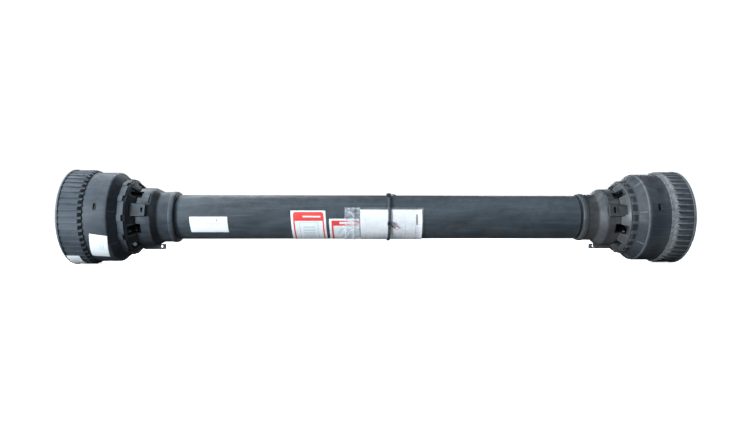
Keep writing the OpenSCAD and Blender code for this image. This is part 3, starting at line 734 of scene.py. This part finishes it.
def papers():
    label_set = [white_vinyl, red_print, grey_print, pale_print, ink_print]

    def plain(along, down):
        if inside(along, down, 27, 51, 10.2, 13.4) and int(along / 1.9) % 4:
            return 3
        if inside(along, down, 42.5, 45.5, 3.4, 8.2, 1.4):
            return 2
        return 0

    wrapped("plain_label", "outer_guard", ["tube_labels"], label_set,
            (-318, -256, -43, 0, TUBE_R + 0.28, 0.05), plain)

    def tall(along, down):
        if inside(along, down, 3.5, 54.5, 2.6, 100, 4.0):
            if inside(along, down, 6.0, 52.0, 17.6, 100):
                if inside(along, down, 14, 44, 19.6, 60) and not inside(along, down, 14.6, 43.4, 20.2, 59.4):
                    return 2
                if inside(along, down, 19, 39, 26, 52) and int(down / 3.0) % 2:
                    return 3
                if inside(along, down, 8, 50, 64, 74) and int(down / 2.4) % 2:
                    return 3
                return 0
            if inside(along, down, 20, 49, 9.0, 11.4):
                return 0
            return 1
        return 0

    wrapped("tall_label", "outer_guard", (), label_set,
            (-152, -94, -98, 16, TUBE_R + 0.28, 0.06), tall)

    def wide(along, down):
        if inside(along, down, 3.4, 60, 2.8, 100, 3.0):
            if inside(along, down, 6.6, 60, 12.0, 100):
                if inside(along, down, 14, 44, 16, 40) and int(along / 6.0 + down / 9.0) % 2:
                    return 3
                return 0
            if inside(along, down, 17, 46, 5.6, 9.2, 1.0):
                return 0
            return 1
        return 0

    wrapped("wide_label", "outer_guard", (), label_set,
            (-88, -38, -98, -5, TUBE_R + 0.28, 0.05), wide)

    def leaflet(along, down):
        if inside(along, down, 8.6, 9.8, 15, 90) or inside(along, down, 75, 76, 22, 90):
            return 2
        if inside(along, down, 93.5, 96.3, 8, 25.5) or inside(along, down, 91.8, 93.4, 25.5, 50):
            return 1 if down < 25.5 else 2
        oval = inside(along, down, 54, 66, 28.5, 35, 3.2)
        if oval and not inside(along, down, 55.6, 64.4, 30.0, 33.6, 1.6):
            return 3
        if inside(along, down, 66.5, 76, 22, 22.8):
            return 2
        bars = inside(along, down, 22, 70, 42, 84) and int(down / 2.6) % 2
        if bars and noise.noise(Vector((along, down, 0))) > -0.25:
            return 2
        return 0

    def cockle(along, down):
        wave = 0.45 * noise.noise(Vector((along * 0.045, down * 0.06, 3.0)))
        lift = 1.1 * max(0.0, (along - 95) / 9.0) ** 2 + 0.5 * max(0.0, (6 - down) / 6.0)
        return wave + lift

    wrapped("folded_leaflet", "outer_guard", ["instruction_leaflet"],
            [white_paper, ink_print, pale_print, pink_print],
            (LEAFLET_FROM, LEAFLET_TO, -128, 18, TUBE_R + 0.95, 0.02), leaflet, 0.8, 0.45, cockle)

    def crease(along, down):
        fold = 0.5 * noise.noise(Vector((along * 0.12, down * 0.05, 9.0)))
        pucker = 0.7 * math.exp(-((along - 16) / 1.6) ** 2) - 0.3 * math.exp(-((along - 8) / 4.0) ** 2)
        loose = 1.2 * max(0.0, (8 - down) / 8.0) * (0.5 + 0.5 * math.sin(along * 0.5))
        return fold + pucker + 0.4 * loose

    wrapped("film_sleeve", "outer_guard", ["leaflet_sleeve"], [film],
            (-62, 71, -132, 23, TUBE_R + 1.9, 0.0), lambda along, down: 0, 1.0, 0.12, crease)


def bell_label(name, materials, along, angle, size, radius, turn, paint, body):
    """A label stuck on the tractor bell, turned a little on the surface."""
    length, height = size
    columns = round(length / 0.6)
    rows = round(height / 0.6)
    shape = Shape(-1)
    c = math.cos(math.radians(turn))
    s = math.sin(math.radians(turn))
    for i in range(columns + 1):
        for j in range(rows + 1):
            x = length * (i / columns - 0.5)
            y = height * (0.5 - j / rows)
            turned = angle + math.degrees((c * y + s * x) / radius)
            shape.points.append(near_end(-1, along - c * x + s * y, radius, turned))
    for i in range(columns):
        for j in range(rows):
            a = i * (rows + 1) + j
            shape.faces.append([a, a + 1, a + rows + 2, a + rows + 1])
            shape.slots.append(paint(length * (i + 0.5) / columns, height * (j + 0.5) / rows))
    shape.wear_and_shading = [0.0] * len(shape.points)
    sheet = shape.object(name)
    if sum(p.normal.dot(Vector((0, p.center.y, p.center.z))) for p in sheet.data.polygons) < 0:
        sheet.data.flip_normals()
    dress(sheet, materials, body)
    solid = sheet.modifiers.new("thickness", "SOLIDIFY")
    solid.thickness = 0.25 * MM
    solid.offset = -1
    return sheet


def bell_labels():
    def lines(along, down):
        if inside(along, down, 2.5, 9.0, 2.5, 12) and int(down / 1.8) % 2:
            return 3
        bars = inside(along, down, 13, 24, 4, 30) and int(along / 2.2) % 2
        if bars and noise.noise(Vector((along, down * 0.6, 1))) > -0.2:
            return 3
        return 0

    vinyls = [white_vinyl, red_print, grey_print, pale_print]
    first = bell_label("ring_label", vinyls, 26, -41, (28, 48), RING_R + 0.32, -9, lines, "outer_guard")
    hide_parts("bell_labels")
    bell_label("rim_label", [white_vinyl, pale_print], 71.2, -65, (20.4, 34), CREST_R + 0.3, 0,
               lambda along, down: 0, "outer_guard")


def tie_piece(name, head_angle, tail_turn, low, high, replaced):
    """A cable tie: toothed strap, head with its pawl slot, and the cut tail."""
    shape = Shape()
    r = TUBE_R + 2.35
    far = TIE_FROM + TIE_WIDTH
    outline = [(TIE_FROM, r), (far, r), (far, r + 0.8, 0.3), (far - 0.7, r + 1.25, 0.4),
               (TIE_FROM + 0.7, r + 1.25, 0.4), (TIE_FROM, r + 0.8, 0.3)]
    shape.arc(outline, low, high, 60)
    tie = shape.object(name)
    head = Shape()
    head.prism(TIE_FROM + TIE_WIDTH / 2, head_angle, rounded(6.8, 6.6, 1.0), r + 0.1, r + 4.2)
    carve(tie, head, "UNION")
    hole = Shape()
    hole.prism(TIE_FROM + TIE_WIDTH / 2, head_angle, rounded(4.2, 2.0, 0.3, 1), r + 2.2, r + 6)
    carve(tie, hole)
    tail = Shape()
    a = math.radians(tail_turn)
    points = []
    count = 9
    for i in range(count):
        t = i / (count - 1)
        reach = 3.0 + 9.5 * t
        half = 1.15 * (1 - 0.35 * t)
        lift = 3.0 + 0.9 * math.sin(t * 2.2)
        for across, up in ((-half, 0), (half, 0), (half, 0.8), (-half, 0.8)):
            x = TIE_FROM + TIE_WIDTH / 2 + reach * math.cos(a) - across * math.sin(a)
            y = reach * math.sin(a) + across * math.cos(a)
            radius = r + lift + up
            points.append(on_tube(x, radius, head_angle + math.degrees(y / radius)))
    faces = [[0, 1, 2, 3], [4 * count - 4 + k for k in range(4)]]
    for i in range(count - 1):
        for k in range(4):
            faces.append([4 * i + k, 4 * i + (k + 1) % 4, 4 * i + 4 + (k + 1) % 4, 4 * i + 4 + k])
    tail.add(points, faces)
    merge(tie, tail.object("tail"))
    dress(tie, [tie_plastic], "outer_guard", replaced, 0.15)


for end_name, end_side in ENDS.items():
    slatted_rim(end_name, end_side)
    bell_ring(end_name, end_side)
    cone_shell(end_name, end_side)
    collar_shell(end_name, end_side)
guard_tube("long_tube", "outer_guard_tube", "outer_guard", TUBE_R, 2.5, -372, 338.5, tube_plastic)
guard_tube("short_tube", "inner_guard_tube", "inner_guard", INNER_TUBE_R, 2.5, -330, 372, tube_plastic)
papers()
bell_labels()
tie_piece("upper_tie", 62, -20, 62, 337, ["cable_ties"])
tie_piece("front_tie", -16, -38, -16, 54, ())


# ---- the steel parts keep their CAD shape ----

def carry(node, material, edge=0.35):
    """A CAD node that is shown as it is, with rounded edges and its own finish."""
    target = NODES[node]
    target.data.materials.clear()
    target.data.materials.append(material)
    smooth(target, 38)
    if edge:
        weld = target.modifiers.new("weld", "WELD")
        weld.merge_threshold = 0.00001
        bevel(target, edge, 2, 38)


def coil_spring(end):
    """The push pin's return spring, squashed between its seat and the button as the pin goes in."""
    low, high = (Vector(corner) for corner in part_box(f"{end}_pin_spring"))
    length = high.z - low.z
    wire = SPRING_WIRE_R * MM
    mean = (high.x - low.x) / 2 - wire
    centre = (low + high) / 2
    steps = SPRING_STEPS * SPRING_TURNS
    points = []
    for i in range(steps + 1):
        turn = 2 * math.pi * i / SPRING_STEPS
        # the end turns lie closed, as on a ground spring
        t = i / steps
        rise = min(max((t - SPRING_CLOSED) / (1 - 2 * SPRING_CLOSED), 0.0), 1.0)
        z = low.z + wire * (1 + SPRING_RISE * min(t / SPRING_CLOSED, 1.0))
        z += rise * (length - 2 * wire * (1 + SPRING_RISE))
        z += SPRING_RISE * wire * max((t - 1 + SPRING_CLOSED) / SPRING_CLOSED, 0.0)
        for k in range(SPRING_SIDES):
            a = 2 * math.pi * k / SPRING_SIDES
            r = mean + 0.98 * wire * math.cos(a)
            points.append(Vector((centre.x + r * math.cos(turn), centre.y + r * math.sin(turn),
                                  z + 0.98 * wire * math.sin(a))))
    faces = [list(range(SPRING_SIDES)), [steps * SPRING_SIDES + k for k in range(SPRING_SIDES)]]
    for i in range(steps):
        for k in range(SPRING_SIDES):
            a = i * SPRING_SIDES + k
            b = i * SPRING_SIDES + (k + 1) % SPRING_SIDES
            faces.append([a, b, b + SPRING_SIDES, a + SPRING_SIDES])
    shape = Shape()
    shape.add(points, faces)
    spring = shape.object(f"{end}_coil_spring")
    dress(spring, [dark_steel], f"{end}_yoke", [f"{end}_pin_spring"])
    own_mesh(spring)


for end_name in ENDS:
    coil_spring(end_name)
    carry(f"{end_name}_outer_yoke", forged_steel, 0.5)
    carry(f"{end_name}_inner_yoke", forged_steel, 0.5)
    carry(f"{end_name}_cross", ground_steel, 0.3)
    carry(f"{end_name}_cross_seals", rubber, 0)
    carry(f"{end_name}_grease_nipple", brass, 0.15)
    carry(f"{end_name}_bearing_ring", nylon, 0.3)
    carry(f"{end_name}_roll_pin", dark_steel, 0)
    carry(f"{end_name}_push_pin", zinc_steel, 0.2)
    carry(f"{end_name}_push_button", zinc_steel, 0.3)
    for place in ("inner", "outer"):
        carry(f"{end_name}_{place}_cups", ground_steel, 0.25)
        carry(f"{end_name}_{place}_circlips", dark_steel, 0.1)
        carry(f"{end_name}_{place}_needles", ground_steel, 0)
carry("outer_profile_tube", tube_steel, 0.3)
carry("inner_profile_tube", tube_steel, 0.3)


# ---- studio ----

def floor_material():
    s = Shader("floor_white")
    path = s.tree.nodes.new("ShaderNodeLightPath").outputs["Is Camera Ray"]
    pale = s.mix(s.ramp(s.noise(3, 3), 0.4, 0.6), (0.86, 0.86, 0.86), (0.84, 0.84, 0.84))
    colour = s.mix(path, (0.17, 0.165, 0.16), pale)
    s.set(Specular_IOR_Level=0.1, Emission_Color=(1.0, 1.0, 1.0, 1.0))
    s.link(s.math("MULTIPLY", path, FLOOR_GLOW), s.surface.inputs["Emission Strength"])
    return s.finish(colour, s.ramp(s.noise(9, 2), 0.3, 0.7, 0.8, 0.9))


def studio():
    mesh = bpy.data.meshes.new("floor")
    half = 30.0
    z = -0.0803
    corners = [(-half, -half, z), (half, -half, z), (half, half, z), (-half, half, z)]
    mesh.from_pydata(corners, [], [[0, 1, 2, 3]])
    mesh.materials.append(floor_material())
    floor = bpy.data.objects.new("floor", mesh)
    bpy.context.scene.collection.objects.link(floor)

    world = bpy.data.worlds.new("studio")
    bpy.context.scene.world = world
    world.use_nodes = True
    tree = world.node_tree
    background = tree.nodes["Background"]
    coords = tree.nodes.new("ShaderNodeTexCoord")
    dot = tree.nodes.new("ShaderNodeVectorMath")
    dot.operation = "DOT_PRODUCT"
    dot.inputs[1].default_value = Vector((-0.80, -0.42, 0.36)).normalized()
    tree.links.new(coords.outputs["Generated"], dot.inputs[0])
    spread = tree.nodes.new("ShaderNodeMapRange")
    spread.interpolation_type = "SMOOTHSTEP"
    spread.inputs["From Min"].default_value = -0.25
    spread.inputs["From Max"].default_value = 0.95
    spread.inputs["To Min"].default_value = 0.018
    spread.inputs["To Max"].default_value = 1.15
    tree.links.new(dot.outputs["Value"], spread.inputs["Value"])
    tree.links.new(spread.outputs["Result"], background.inputs["Strength"])
    background.inputs["Color"].default_value = (0.80, 0.91, 1.0, 1.0)
    seen = tree.nodes.new("ShaderNodeBackground")
    seen.inputs["Color"].default_value = (1.0, 1.0, 1.0, 1.0)
    seen.inputs["Strength"].default_value = 1.05
    path = tree.nodes.new("ShaderNodeLightPath")
    mixed = tree.nodes.new("ShaderNodeMixShader")
    tree.links.new(path.outputs["Is Camera Ray"], mixed.inputs["Fac"])
    tree.links.new(background.outputs["Background"], mixed.inputs[1])
    tree.links.new(seen.outputs["Background"], mixed.inputs[2])
    tree.links.new(mixed.outputs["Shader"], tree.nodes["World Output"].inputs["Surface"])

    for name, place, target, size, watts in (
        ("key", (-1.50, -0.95, 0.16), (-0.2, 0.0, 0.0), (0.5, 0.5), 52.0),
        ("top", (-0.95, -0.1, 1.15), (0.0, 0.0, 0.0), (0.6, 0.9), 9.0),
        ("back", (-0.6, 0.9, 0.9), (0.0, 0.0, 0.0), (1.0, 0.3), 7.0),
        ("rear_fill", (0.9, 1.3, 0.35), (0.1, 0.0, 0.0), (1.2, 0.6), 16.0),
        ("mouth_fill", (0.85, 0.10, 0.14), (0.45, 0.0, 0.0), (0.2, 0.2), 0.9),
        ("far_mouth_fill", (-0.85, 0.16, 0.14), (-0.45, 0.0, 0.0), (0.2, 0.2), 0.7),
    ):
        light = bpy.data.lights.new(name, "AREA")
        light.shape = "RECTANGLE"
        light.size = size[0]
        light.size_y = size[1]
        light.energy = watts
        light.color = (0.86, 0.94, 1.0)
        lamp = bpy.data.objects.new(name, light)
        bpy.context.scene.collection.objects.link(lamp)
        lamp.visible_camera = False
        lamp.location = place
        lamp.rotation_mode = "QUATERNION"
        lamp.rotation_quaternion = (Vector(target) - Vector(place)).to_track_quat("-Z", "Y")


def camera():
    data = bpy.data.cameras.new("camera")
    data.lens = 28.58
    data.sensor_width = 36.0
    data.clip_start = 0.01
    data.clip_end = 200
    eye = bpy.data.objects.new("camera", data)
    bpy.context.scene.collection.objects.link(eye)
    eye.location = (-0.0532, -1.0317, -0.0095)
    eye.rotation_mode = "QUATERNION"
    eye.rotation_quaternion = Vector((0.0421, 0.9991, 0.0)).to_track_quat("-Z", "Y")
    bpy.context.scene.camera = eye


studio()
camera()
bpy.context.scene.view_settings.view_transform = "Standard"
bpy.context.scene.view_settings.look = "None"
